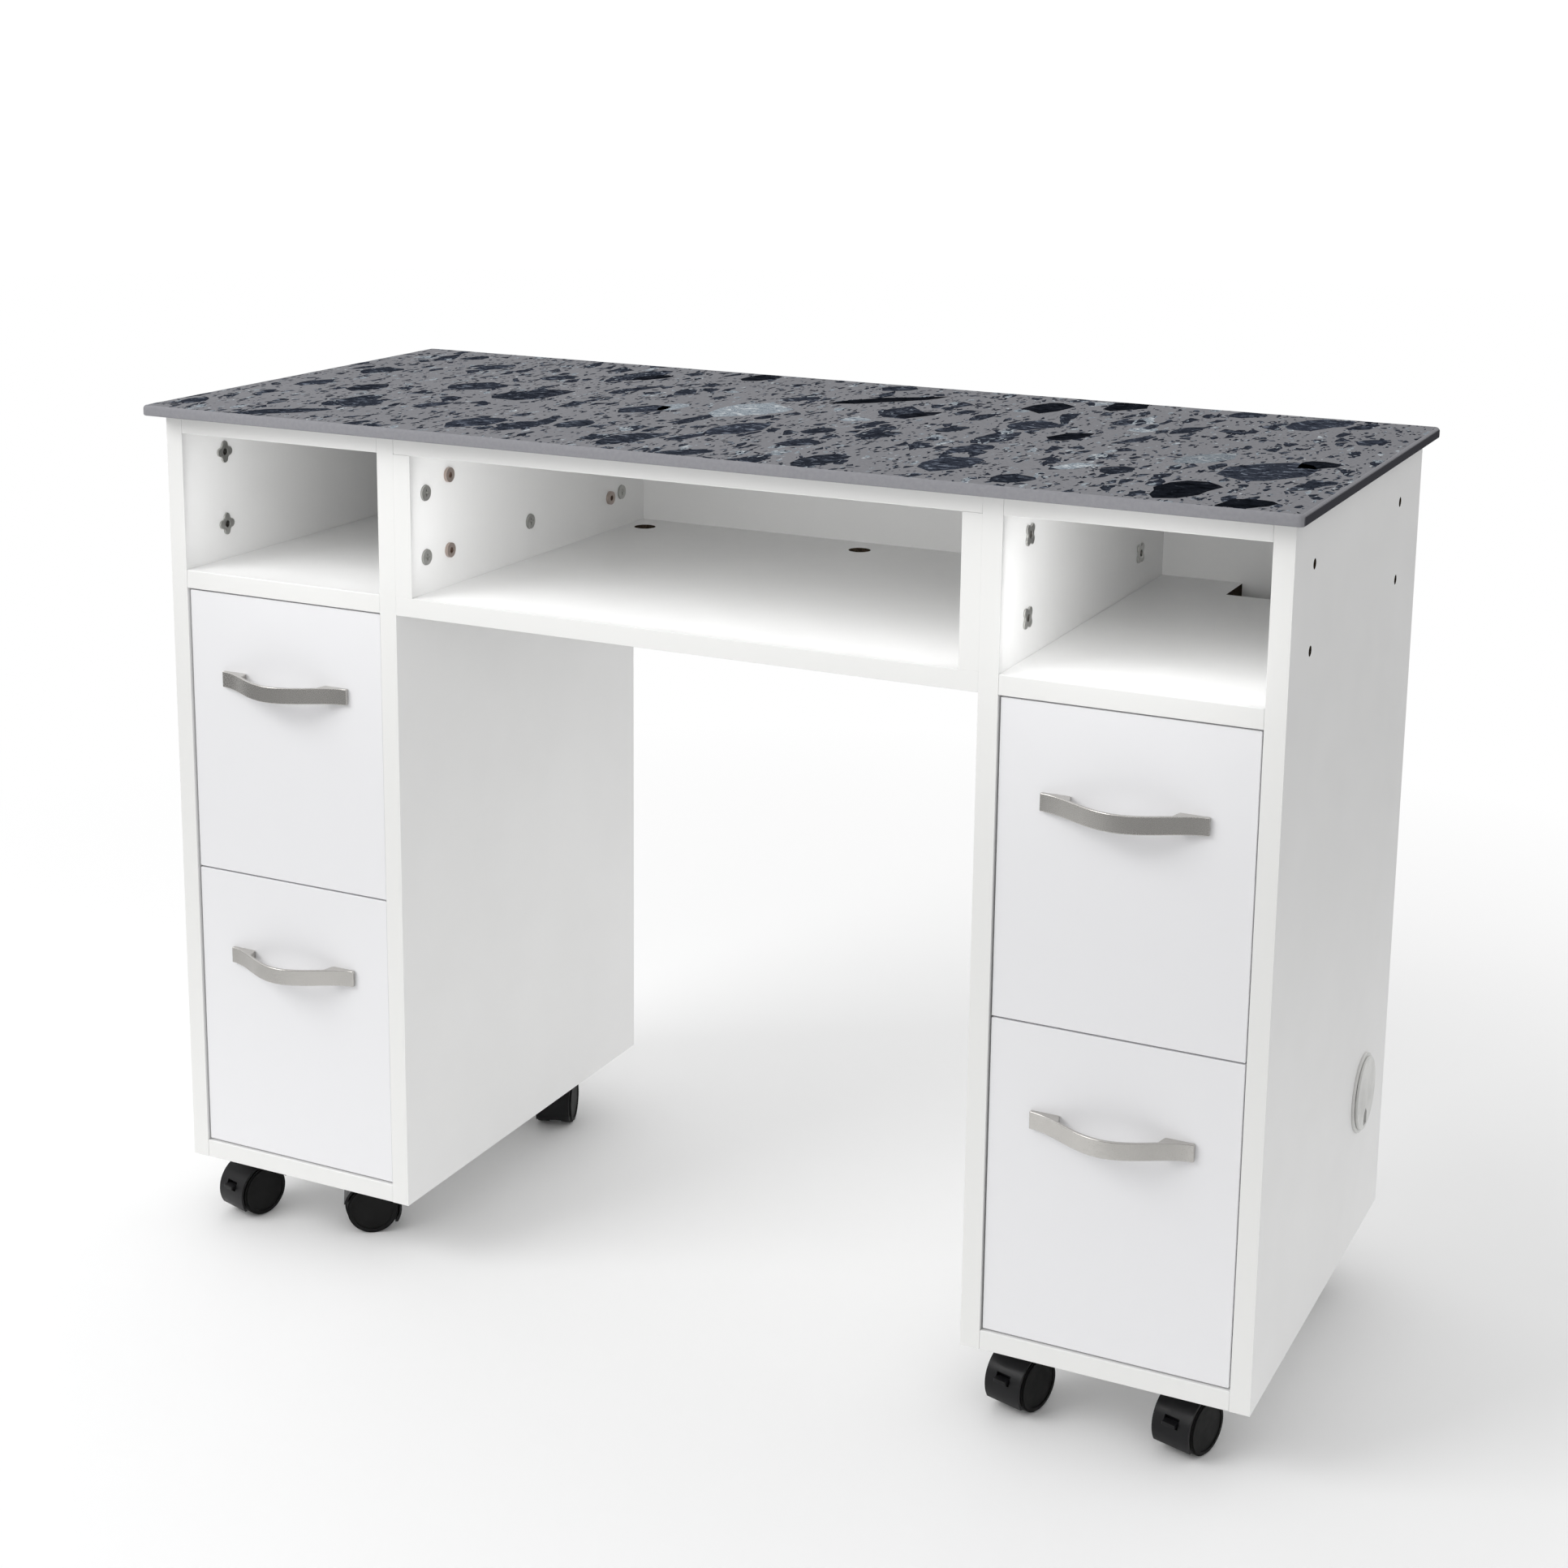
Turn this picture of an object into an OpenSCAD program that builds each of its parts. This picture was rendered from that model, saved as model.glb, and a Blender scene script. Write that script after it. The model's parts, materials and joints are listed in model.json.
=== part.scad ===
// Manicure table: two drawer pedestals on twin-wheel casters, joined by an open
// centre shelf box under one thin worktop. Front faces -Y, right is +X, floor at z = 0.

/* [Worktop] */
// Length of the worktop, left to right
top_length = 1000; // [990:5:1040]
// Depth of the worktop, front to back
top_depth = 440; // [420:5:470]
// Thickness of the worktop
top_thickness = 9; // [8:1:12]

/* [Cabinet] */
// Width over both pedestals
cabinet_width = 980; // [940:5:980]
// Depth of the pedestals
cabinet_depth = 400; // [390:5:410]
// Height of the pedestals without casters
cabinet_height = 678; // [670:1:700]
// Width of one pedestal
pedestal_width = 232; // [228:1:236]
// Thickness of every cabinet board
board = 16; // [15:1:18]
// Thickness of the back panels
back_board = 9; // [6:1:9]
// Height of the open shelves above the pedestals' underside
shelf_height = 543; // [535:1:550]

/* [Drawers] */
// Height of the lower drawer fronts
lower_front_height = 257; // [245:1:260]
// Gap round each drawer front
front_gap = 1.5; // [1:0.25:2.5]
// How far the drawer fronts sit behind the cabinet's front edges
front_recess = 2; // [1:0.5:4]
// Length of the drawer boxes behind their fronts
box_length = 300; // [260:10:320]
// Side height of the drawer boxes
box_height = 150; // [100:5:180]
// Thickness of the drawer box sides and back
box_board = 12; // [10:1:15]

/* [Handles] */
// Length of a bow handle
handle_length = 129; // [120:1:140]
// Height of the handle's band
handle_band = 14; // [10:1:16]
// How far the handle's bow stands out from the drawer front
handle_reach = 28; // [26:1:32]

/* [Casters] */
// Height from the floor to the pedestals' underside
caster_height = 60; // [58:1:66]
// Diameter of the caster wheels
wheel_d = 45; // [42:1:46]
// Distance from the swivel axis back to the axle
trail = 12; // [10:1:14]

/* [Hidden] */
$fn = 64;

// Heights
base_z = caster_height;
cabinet_top = base_z + cabinet_height;
shelf_top = base_z + shelf_height;
shelf_under = shelf_top - board;
rail_under = cabinet_top - board;

// Plan: front_y is the pedestals' front plane, placed so that the whole outline is centred
overhang = (top_depth - cabinet_depth) / 2;
front_y = (handle_reach - front_recess - cabinet_depth - overhang) / 2;
outer_x = cabinet_width / 2;
inner_x = outer_x - pedestal_width;
bay_x0 = inner_x + board;
bay_x1 = outer_x - board;
bay_mid = (bay_x0 + bay_x1) / 2;
back_y = cabinet_depth - back_board;
top_corner_r = 3;

// Bolt holes shared by all four pedestal sides
hole_y = [56, 326];
hole_z = [base_z + 574, base_z + 638];
side_hole_d = 8;
lining_hole_d = 7;
tnut_bore_d = 6;
tnut_barrel_d = 7.8;
tnut_barrel_length = 9;
tnut_flange_t = 1.5;
tnut_flange_d = 13;
tnut_lobe_d = 7.5;
tnut_lobe_reach = 6;
bolt_shank_d = 5.8;
bolt_head_d = 12.5;
bolt_head_t = 2.6;
bolt_socket_d = 5.5;
bolt_end_gap = 2;
bolt_socket_depth = 3;

// Wood screws through the lining boards into the pedestals
screw_spots = [[22, base_z + 574], [22, base_z + 628], [185, base_z + 576], [348, base_z + 576]];
screw_d = 4;
screw_head_d = 13;
screw_head_t = 2;
screw_bite = 10;
screw_sink = 0.6;
screw_play = 0.2;
recess_length = 6;
recess_width = 1.2;
recess_depth = 1.2;

// Cable ways
shelf_hole_d = 20;
shelf_hole_y = 358;
shelf_hole_x = 222;
notch_width = 128;
notch_depth = 50;
grommet_y = 316;
grommet_z = base_z + 134;
grommet_hole_d = 60;
grommet_rim_d = 68;
grommet_rim_t = 2;
grommet_cap_d = 62;
grommet_cap_t = 3.2;
grommet_spigot_d = 55.6;
grommet_spigot_length = 8;
grommet_spigot_wall = 1.5;
grommet_play = 0.3;
slot_width = 10;
slot_height = 15;
slot_bottom = -28;

// Drawer running gear
side_gap = 12.5;
rail_height = 36;
rail_depth = 10;
rail_wall = 1.5;
bar_height = 30;
bar_depth = 10;
rail_lift = 38;
travel_stop = 18;

// Drawers: name, side of the table, level
drawer_fronts_z = [
    base_z + board + front_gap,
    base_z + board + lower_front_height + 2 * front_gap];
lower_top_z = drawer_fronts_z[0] + lower_front_height;
upper_top_z = shelf_under - front_gap;
handle_drop = 75;

// Casters: stem position measured from the cabinet's front plane, and the turn of the body
front_left_outer = [-448, 46, -16];
front_left_inner = [-346, 50, 125];
front_right_inner = [299, 50, -16];
front_right_outer = [436, 50, -16];
rear_left_outer = [-436, 337, 20];
rear_left_inner = [-308, 337, 20];
rear_right_inner = [308, 337, 20];
rear_right_outer = [436, 337, 20];
wheel_r = wheel_d / 2;
wheel_width = 13;
web_width = 9;
wheel_gap = 0.5;
hood_play = 1.5;
hood_wall = 2;
hood_width = 33;
axle_d = 6;
axle_bite = 9;
stem_d = 9;
stem_flange_d = 26;
plate_size = 38;
plate_t = 2.5;
lever_width = 12;
lever_reach = 7;
lever_t = 3;
lever_rise = 6;
lever_slot_play = 0.5;
lever_slot = 8;
hood_front_rise = 6;
hood_back_z = 9;
stem_rise = 8;

// ---------- shared shapes ----------

// A board by its low and high corners, with y measured from the cabinet's front plane
module slab(low, high) {
    translate([low[0], front_y + low[1], low[2]]) cube(high - low);
}

// Mirrors a right-hand shape onto the left when side is -1
module on_side(side) {
    mirror([side < 0 ? 1 : 0, 0, 0]) children();
}

// The four bolt positions of a pedestal side, axis along X, starting at x
module at_side_holes(x) {
    for (y = hole_y, z = hole_z)
        translate([x, front_y + y, z]) rotate([0, 90, 0]) children();
}

// The screw positions of a lining board, axis along X, starting at x
module at_screws(x) {
    for (s = screw_spots)
        translate([x, front_y + s[0], s[1]]) rotate([0, 90, 0]) children();
}

// ---------- worktop ----------

module worktop() {
    color("slategray")
        translate([-top_length / 2, front_y - overhang, cabinet_top]) linear_extrude(top_thickness)
            rounded_outline(top_length, top_depth, top_corner_r);
}

module rounded_outline(length, depth, r) {
    translate([r, 0]) square([length - 2 * r, depth]);
    translate([0, r]) square([length, depth - 2 * r]);
    for (x = [r, length - r], y = [r, depth - r]) translate([x, y]) circle(r);
}

// ---------- cabinet boards ----------

module outer_side(side, grommet) {
    color("whitesmoke") on_side(side) difference() {
        slab([bay_x1, 0, base_z], [outer_x, cabinet_depth, cabinet_top]);
        at_side_holes(bay_x1 - 1) cylinder(d = side_hole_d, h = board + 2);
        if (grommet) translate([bay_x1 - 1, front_y + grommet_y, grommet_z]) rotate([0, 90, 0])
            cylinder(d = grommet_hole_d, h = board + 2);
    }
}

module inner_side(side) {
    color("whitesmoke") on_side(side) difference() {
        slab([inner_x, 0, base_z], [bay_x0, cabinet_depth, cabinet_top]);
        at_side_holes(inner_x - 1) cylinder(d = side_hole_d, h = board + 2);
        at_screws(inner_x - 1) cylinder(d = screw_d + screw_play, h = screw_bite + 1 + screw_play);
    }
}

module left_outer_side() { outer_side(-1, false); }
module left_inner_side() { inner_side(-1); }
module right_inner_side() { inner_side(1); }
module right_outer_side() { outer_side(1, true); }

module bay_board(side, z) {
    color("white") on_side(side) slab([bay_x0, 0, z], [bay_x1, back_y, z + board]);
}

module left_top_board() { bay_board(-1, rail_under); }
module right_top_board() { bay_board(1, rail_under); }
module left_bottom_board() { bay_board(-1, base_z); }
module right_bottom_board() { bay_board(1, base_z); }
module left_shelf() { bay_board(-1, shelf_under); }

module right_shelf() {
    color("white") difference() {
        slab([bay_x0, 0, shelf_under], [bay_x1, back_y, shelf_top]);
        slab([bay_x1 - notch_width, back_y - notch_depth, shelf_under - 1],
             [bay_x1 + 1, back_y + 1, shelf_top + 1]);
    }
}

module centre_top_board() {
    color("white") slab([-inner_x, 0, rail_under], [inner_x, back_y, cabinet_top]);
}

module centre_shelf() {
    color("white") difference() {
        slab([-inner_x, 0, shelf_under], [inner_x, back_y, shelf_top]);
        for (i = [-1:1]) translate([i * shelf_hole_x, front_y + shelf_hole_y, shelf_under - 1])
            cylinder(d = shelf_hole_d, h = board + 2);
    }
}

module pedestal_back_panels() {
    color("gainsboro") for (side = [-1, 1]) on_side(side)
        slab([bay_x0, back_y, base_z], [bay_x1, cabinet_depth, cabinet_top]);
}

module centre_back_panel() {
    color("gainsboro")
        slab([-inner_x, back_y, shelf_under], [inner_x, cabinet_depth, cabinet_top]);
}

module lining_board(side) {
    color("white") on_side(side) difference() {
        slab([inner_x - board, 0, shelf_top], [inner_x, back_y, rail_under]);
        at_side_holes(inner_x - board - 1) cylinder(d = lining_hole_d, h = board + 2);
        at_screws(inner_x - board - 1) cylinder(d = screw_d + screw_play, h = board + 2);
        at_screws(inner_x - board) translate([0, 0, -1])
            cylinder(d = screw_head_d + 2 * screw_play, h = screw_sink + 1);
    }
}

module left_lining_board() { lining_board(-1); }
module right_lining_board() { lining_board(1); }

// ---------- cabinet fasteners ----------

// Cross-lobed flange with a threaded barrel that points along +Z
module t_nut() {
    difference() {
        union() {
            translate([0, 0, -tnut_flange_t]) linear_extrude(tnut_flange_t) {
                for (a = [0:90:270]) rotate(a) translate([tnut_lobe_reach, 0]) circle(d = tnut_lobe_d);
                circle(d = tnut_flange_d);
            }
            cylinder(d = tnut_barrel_d, h = tnut_barrel_length);
        }
        translate([0, 0, -tnut_flange_t - 1])
            cylinder(d = tnut_bore_d, h = tnut_barrel_length + tnut_flange_t + 2);
    }
}

module t_nuts() {
    color("silver") for (side = [-1, 1]) on_side(side) {
        at_side_holes(bay_x1) t_nut();
        at_side_holes(bay_x0) mirror([0, 0, 1]) rotate(45) t_nut();
    }
}

// Flanged furniture bolts that clamp lining board, pedestal side and T-nut
module connector_bolts() {
    color("burlywood") for (side = [-1, 1]) on_side(side) at_side_holes(inner_x - board) {
        difference() {
            union() {
                translate([0, 0, -bolt_head_t]) cylinder(d = bolt_head_d, h = bolt_head_t);
                cylinder(d = bolt_shank_d, h = 2 * board - bolt_end_gap);
            }
            translate([0, 0, -bolt_head_t - 1])
                cylinder(d = bolt_socket_d, h = bolt_socket_depth + 1, $fn = 6);
        }
    }
}

// Pan-head wood screws with a cross recess
module lining_screws() {
    color("silver") for (side = [-1, 1]) on_side(side) at_screws(inner_x - board) difference() {
        union() {
            translate([0, 0, screw_sink - screw_head_t]) cylinder(d = screw_head_d, h = screw_head_t);
            translate([0, 0, screw_sink]) cylinder(d = screw_d, h = board + screw_bite - screw_sink);
        }
        translate([0, 0, screw_sink - screw_head_t - 1]) for (a = [0, 90]) rotate(a)
            translate([-recess_length / 2, -recess_width / 2, 0])
                cube([recess_length, recess_width, recess_depth + 1]);
    }
}

// ---------- cable grommet ----------

// House-shaped cable slot low on the grommet, drawn in the disc's plane
module cable_slot() {
    translate([0, slot_bottom]) polygon([
        [-slot_width / 2, 0], [slot_width / 2, 0],
        [slot_width / 2, slot_height - slot_width / 2], [0, slot_height],
        [-slot_width / 2, slot_height - slot_width / 2]]);
}

// Puts a shape drawn with its face along +Z onto the outer face of the right-hand board
module at_grommet() {
    translate([outer_x, front_y + grommet_y, grommet_z]) rotate([90, 0, 90]) children();
}

module grommet_sleeve() {
    color("white") at_grommet() difference() {
        union() {
            cylinder(d = grommet_rim_d, h = grommet_rim_t);
            translate([0, 0, 1 - board]) cylinder(d = grommet_hole_d - 0.2, h = board);
        }
        translate([0, 0, -board]) cylinder(d = grommet_spigot_d + 0.8, h = board + 4);
    }
}

module grommet_cap() {
    color("white") at_grommet() difference() {
        union() {
            translate([0, 0, grommet_rim_t + grommet_play])
                cylinder(d = grommet_cap_d, h = grommet_cap_t - 1);
            translate([0, 0, grommet_rim_t + grommet_play - grommet_spigot_length])
                cylinder(d = grommet_spigot_d, h = grommet_spigot_length + 0.5);
        }
        translate([0, 0, -grommet_spigot_length])
            cylinder(d = grommet_spigot_d - 2 * grommet_spigot_wall,
                     h = grommet_spigot_length + grommet_rim_t);
        translate([0, 0, -board]) linear_extrude(board + 8) cable_slot();
    }
}

// ---------- drawers ----------

// Lowest and highest z of the front at a level, 0 for lower and 1 for upper
function front_low(level) = drawer_fronts_z[level];
function front_high(level) = level == 0 ? lower_top_z : upper_top_z;
box_x0 = bay_x0 + side_gap;
box_x1 = bay_x1 - side_gap;
box_y0 = front_recess + board;
box_y1 = box_y0 + box_length;
box_lift = 14;
bottom_t = 4;
bottom_lift = 8;

module drawer_front(side, level) {
    color("white") on_side(side)
        slab([bay_x0 + front_gap, front_recess, front_low(level)],
             [bay_x1 - front_gap, front_recess + board, front_high(level)]);
}

module drawer_box(side, level) {
    z = front_low(level) + box_lift;
    color("gainsboro") on_side(side) {
        slab([box_x0, box_y0, z], [box_x0 + box_board, box_y1, z + box_height]);
        slab([box_x1 - box_board, box_y0, z], [box_x1, box_y1, z + box_height]);
        slab([box_x0 + box_board, box_y1 - box_board, z], [box_x1 - box_board, box_y1, z + box_height]);
        slab([box_x0 + box_board, box_y0, z + bottom_lift],
             [box_x1 - box_board, box_y1 - box_board, z + bottom_lift + bottom_t]);
    }
}

// Bow handle: a flat band that leaves the front at both ends and swells outwards, on two wedge feet
foot_length = 24;
end_reach = 3.5;
band_t = 3;
bow_steps = 12;
bow_power = 1.7;
handle_half = handle_length / 2;
foot_inner = handle_half - foot_length;
function bow(x) = end_reach + (handle_reach - end_reach) * pow(cos(90 * x / handle_half), bow_power);
outer_x_steps = [for (i = [0:2 * bow_steps]) handle_half * (i / bow_steps - 1)];
inner_x_steps = [for (i = [2 * bow_steps:-1:0]) foot_inner * (i / bow_steps - 1)];
handle_outline = concat(
    [[-handle_half, 0]],
    [for (x = outer_x_steps) [x, -bow(x)]],
    [[handle_half, 0], [foot_inner + 0.5, 0]],
    [for (x = inner_x_steps) [x, band_t - bow(x)]],
    [[-foot_inner - 0.5, 0]]);

module drawer_handle(side, level) {
    color("silver")
        translate([side * bay_mid, front_y + front_recess, front_high(level) - handle_drop - handle_band / 2])
            linear_extrude(handle_band) polygon(handle_outline);
}

// Sliding bars on the sides of a drawer box
module drawer_runners(side, level) {
    z = front_low(level) + box_lift + rail_lift;
    color("silver") on_side(side) {
        slab([box_x0 - bar_depth, box_y0 + 2, z], [box_x0, box_y1, z + bar_height]);
        slab([box_x1, box_y0 + 2, z], [box_x1 + bar_depth, box_y1, z + bar_height]);
    }
}

// Fixed C-shaped rails on the pedestal sides, one pair for each drawer
module drawer_rails() {
    slack = (rail_height - 2 * rail_wall - bar_height) / 2;
    color("silver") for (side = [-1, 1], level = [0, 1]) on_side(side) {
        z = front_low(level) + box_lift + rail_lift - rail_wall - slack;
        difference() {
            slab([bay_x0, box_y0 + 2, z], [bay_x0 + rail_depth, box_y1 + travel_stop, z + rail_height]);
            slab([bay_x0 + rail_wall, box_y0, z + rail_wall],
                 [bay_x0 + rail_depth + 1, box_y1 + travel_stop + 1, z + rail_height - rail_wall]);
        }
        difference() {
            slab([bay_x1 - rail_depth, box_y0 + 2, z], [bay_x1, box_y1 + travel_stop, z + rail_height]);
            slab([bay_x1 - rail_depth - 1, box_y0, z + rail_wall],
                 [bay_x1 - rail_wall, box_y1 + travel_stop + 1, z + rail_height - rail_wall]);
        }
    }
}

// ---------- casters ----------

// Places a caster drawn round its stem; the hood's back faces -Y before the turn
module at_caster(spot) {
    translate([spot[0], front_y + spot[1], 0]) rotate(spot[2]) children();
}

// A cylinder along X through the axle, centred on the caster
module across(r, width) {
    translate([-width / 2, -trail, wheel_r]) rotate([0, 90, 0]) cylinder(r = r, h = width);
}

module caster_plates() {
    color("dimgray") for (s = [front_left_outer, front_left_inner, front_right_inner, front_right_outer,
                               rear_left_outer, rear_left_inner, rear_right_inner, rear_right_outer])
        translate([s[0], front_y + s[1], 0]) difference() {
            translate([-plate_size / 2, -plate_size / 2, base_z - plate_t])
                cube([plate_size, plate_size, plate_t]);
            translate([0, 0, base_z - plate_t - 1]) cylinder(d = stem_d + 0.1, h = plate_t + 2);
        }
}

// Hood: a curved fender over both wheels, a web that carries the axle, and the stem on top
hood_in = wheel_r + hood_play;
hood_out = hood_in + hood_wall;
module caster_hood(spot, braked) {
    color("black") at_caster(spot) difference() {
        union() {
            difference() {
                across(hood_out, hood_width);
                across(hood_in, hood_width + 2);
                // open below the fender: level at the front lip, lower at the back
                translate([-hood_width, -trail, -wheel_d])
                    cube([2 * hood_width, wheel_d, wheel_d + wheel_r + hood_front_rise]);
                translate([-hood_width, -wheel_d - trail, -wheel_d + hood_back_z])
                    cube([2 * hood_width, wheel_d + 1, wheel_d]);
            }
            intersection() {
                across(hood_in + 0.5, web_width);
                translate([-web_width, -wheel_d - trail, hood_back_z])
                    cube([2 * web_width, 2 * wheel_d, wheel_d]);
            }
            translate([0, 0, wheel_r + stem_rise])
                cylinder(d = web_width, h = base_z - wheel_r - stem_rise - plate_t - 1);
            translate([0, 0, base_z - plate_t - 9]) cylinder(d = stem_flange_d, h = 8.4);
            translate([0, 0, base_z - plate_t - 2]) cylinder(d = stem_d, h = plate_t + 1.5);
        }
        across(axle_d / 2 + 0.05, web_width + 2);
        for (s = [-1, 1]) translate([s * (web_width / 2 + wheel_gap + wheel_width / 2), 0, 0])
            across(wheel_r + 0.8, wheel_width + 2 * wheel_gap);
        if (braked)
            translate([-lever_width / 2 - lever_slot_play, -trail - hood_out - 2, wheel_r + lever_rise - 2])
                cube([lever_width + 2 * lever_slot_play, lever_slot, lever_slot]);
    }
}

// Two wheels, and the axle that joins them through the hood's web
module caster_wheels(spot) {
    color("black") at_caster(spot) {
        across(axle_d / 2, web_width + 2 * wheel_gap + 2 * axle_bite);
        difference() {
            for (s = [-1, 1]) translate([s * (web_width / 2 + wheel_gap + wheel_width / 2), 0, 0]) {
                across(wheel_r, wheel_width - 3);
                across(wheel_r - 1.5, wheel_width);
            }
            across(axle_d / 2 + 0.02, web_width + 2 * wheel_gap + 2 * axle_bite);
            for (s = [-1, 1]) translate([s * (web_width / 2 + wheel_gap + wheel_width), 0, 0])
                across(wheel_r - 4, 1.6);
        }
    }
}

// Foot-pressed brake lever that pivots in the hood's back
module brake_lever(spot) {
    color("dimgray") at_caster(spot)
        translate([-lever_width / 2, -trail - hood_out - lever_reach + 4, wheel_r + lever_rise])
            cube([lever_width, lever_reach, lever_t]);
}

// ---------- nodes ----------

worktop();
left_outer_side();
left_inner_side();
right_inner_side();
right_outer_side();
left_top_board();
centre_top_board();
right_top_board();
left_shelf();
centre_shelf();
right_shelf();
left_bottom_board();
right_bottom_board();
pedestal_back_panels();
centre_back_panel();
left_lining_board();
right_lining_board();
connector_bolts();
t_nuts();
lining_screws();
drawer_rails();
caster_plates();
grommet_sleeve();
grommet_cap();
drawer_front(-1, 1);  // left_upper_drawer_front
drawer_box(-1, 1);  // left_upper_drawer_box
drawer_handle(-1, 1);  // left_upper_drawer_handle
drawer_runners(-1, 1);  // left_upper_drawer_runners
drawer_front(-1, 0);  // left_lower_drawer_front
drawer_box(-1, 0);  // left_lower_drawer_box
drawer_handle(-1, 0);  // left_lower_drawer_handle
drawer_runners(-1, 0);  // left_lower_drawer_runners
drawer_front(1, 1);  // right_upper_drawer_front
drawer_box(1, 1);  // right_upper_drawer_box
drawer_handle(1, 1);  // right_upper_drawer_handle
drawer_runners(1, 1);  // right_upper_drawer_runners
drawer_front(1, 0);  // right_lower_drawer_front
drawer_box(1, 0);  // right_lower_drawer_box
drawer_handle(1, 0);  // right_lower_drawer_handle
drawer_runners(1, 0);  // right_lower_drawer_runners
caster_hood(front_left_outer, true);  // left_front_outer_caster_hood
caster_hood(front_left_inner, true);  // left_front_inner_caster_hood
caster_hood(front_right_inner, true);  // right_front_inner_caster_hood
caster_hood(front_right_outer, true);  // right_front_outer_caster_hood
caster_hood(rear_left_outer, false);  // left_rear_outer_caster_hood
caster_hood(rear_left_inner, false);  // left_rear_inner_caster_hood
caster_hood(rear_right_inner, false);  // right_rear_inner_caster_hood
caster_hood(rear_right_outer, false);  // right_rear_outer_caster_hood
caster_wheels(front_left_outer);  // left_front_outer_caster_wheels
caster_wheels(front_left_inner);  // left_front_inner_caster_wheels
caster_wheels(front_right_inner);  // right_front_inner_caster_wheels
caster_wheels(front_right_outer);  // right_front_outer_caster_wheels
caster_wheels(rear_left_outer);  // left_rear_outer_caster_wheels
caster_wheels(rear_left_inner);  // left_rear_inner_caster_wheels
caster_wheels(rear_right_inner);  // right_rear_inner_caster_wheels
caster_wheels(rear_right_outer);  // right_rear_outer_caster_wheels
brake_lever(front_left_outer);  // left_front_outer_brake_lever
brake_lever(front_left_inner);  // left_front_inner_brake_lever
brake_lever(front_right_inner);  // right_front_inner_brake_lever
brake_lever(front_right_outer);  // right_front_outer_brake_lever
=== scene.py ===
"""Looks of the manicure table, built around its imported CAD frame."""
import json
import math
import random

import bmesh
import bpy
from mathutils import Matrix, Vector


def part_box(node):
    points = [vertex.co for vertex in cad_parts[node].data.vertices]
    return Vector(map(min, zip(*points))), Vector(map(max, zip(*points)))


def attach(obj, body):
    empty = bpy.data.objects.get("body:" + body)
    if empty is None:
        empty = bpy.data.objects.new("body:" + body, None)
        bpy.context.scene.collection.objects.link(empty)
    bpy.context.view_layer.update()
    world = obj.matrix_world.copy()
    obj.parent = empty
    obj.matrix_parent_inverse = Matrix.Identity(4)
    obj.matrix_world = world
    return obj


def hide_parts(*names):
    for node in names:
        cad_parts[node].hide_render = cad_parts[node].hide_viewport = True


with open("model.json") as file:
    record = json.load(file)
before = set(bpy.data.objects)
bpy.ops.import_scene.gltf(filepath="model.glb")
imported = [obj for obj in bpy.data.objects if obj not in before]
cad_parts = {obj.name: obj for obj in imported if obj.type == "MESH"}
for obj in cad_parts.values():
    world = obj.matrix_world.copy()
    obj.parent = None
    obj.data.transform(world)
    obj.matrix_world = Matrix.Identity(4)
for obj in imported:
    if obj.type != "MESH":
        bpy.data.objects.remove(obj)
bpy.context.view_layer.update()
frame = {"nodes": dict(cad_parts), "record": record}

NODES = frame["nodes"]
SLOT_OF = {part["node"]: part["material_slot"] for part in frame["record"]["subparts"]}
TABLE = "table"
MM = 0.001


# ---------- camera ----------

# Metres, millimetres of a 36 mm sensor, and degrees; the dip is how far the camera looks down
CAMERA_PLACE = (0.9212, -1.8973, 1.0741)
CAMERA_LENS = 58.37
CAMERA_SHIFT = -0.15
CAMERA_TURN = 25.85
CAMERA_DIP = 11.8
CAMERA_ROLL = 0.64


def add_camera():
    """The photograph's viewpoint: in front, to the right and above, with a little lens shift."""
    data = bpy.data.cameras.new("camera")
    data.sensor_width = 36.0
    data.lens = CAMERA_LENS
    data.shift_y = CAMERA_SHIFT
    data.dof.use_dof = False
    bpy.context.scene.view_settings.view_transform = "Standard"
    camera = bpy.data.objects.new("camera", data)
    bpy.context.scene.collection.objects.link(camera)
    turn = Matrix.Rotation(math.radians(CAMERA_TURN), 4, "Z")
    tilt = Matrix.Rotation(math.radians(90.0 - CAMERA_DIP), 4, "X")
    roll = Matrix.Rotation(math.radians(CAMERA_ROLL), 4, "Z")
    camera.matrix_world = Matrix.Translation(CAMERA_PLACE) @ turn @ tilt @ roll
    bpy.context.scene.camera = camera


# ---------- small node helpers ----------

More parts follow.
